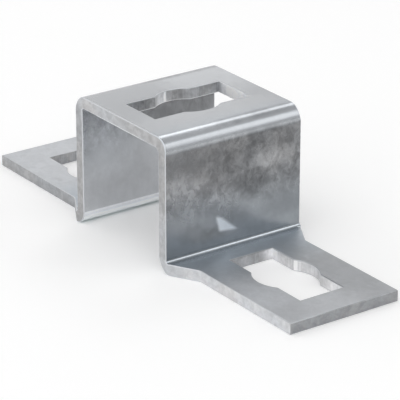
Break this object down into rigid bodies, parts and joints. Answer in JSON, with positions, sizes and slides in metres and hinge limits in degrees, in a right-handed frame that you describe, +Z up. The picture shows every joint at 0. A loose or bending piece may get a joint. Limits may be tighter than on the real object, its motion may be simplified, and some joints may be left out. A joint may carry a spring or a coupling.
{
  "type": "hat-shaped strut fitting",
  "caption": "Hat-shaped strut fitting folded from a strip of galvanised steel. It sits over a length of strut and bolts down through slotted feet.",
  "frame": {"origin": "on the plane of the feet's undersides, below the middle of the top plate", "axes": "+X from foot to foot, +Y along the strut that the hat sits over, +Z up"},
  "size_m": [0.168, 0.0536, 0.046],
  "materials": {
    "galvanised_steel": "zinc coated, smooth and softly glossy, with faint mottling"
  },
  "bodies": {
    "root": {"strut_fitting": "galvanised_steel"}
  },
  "joints": []
}
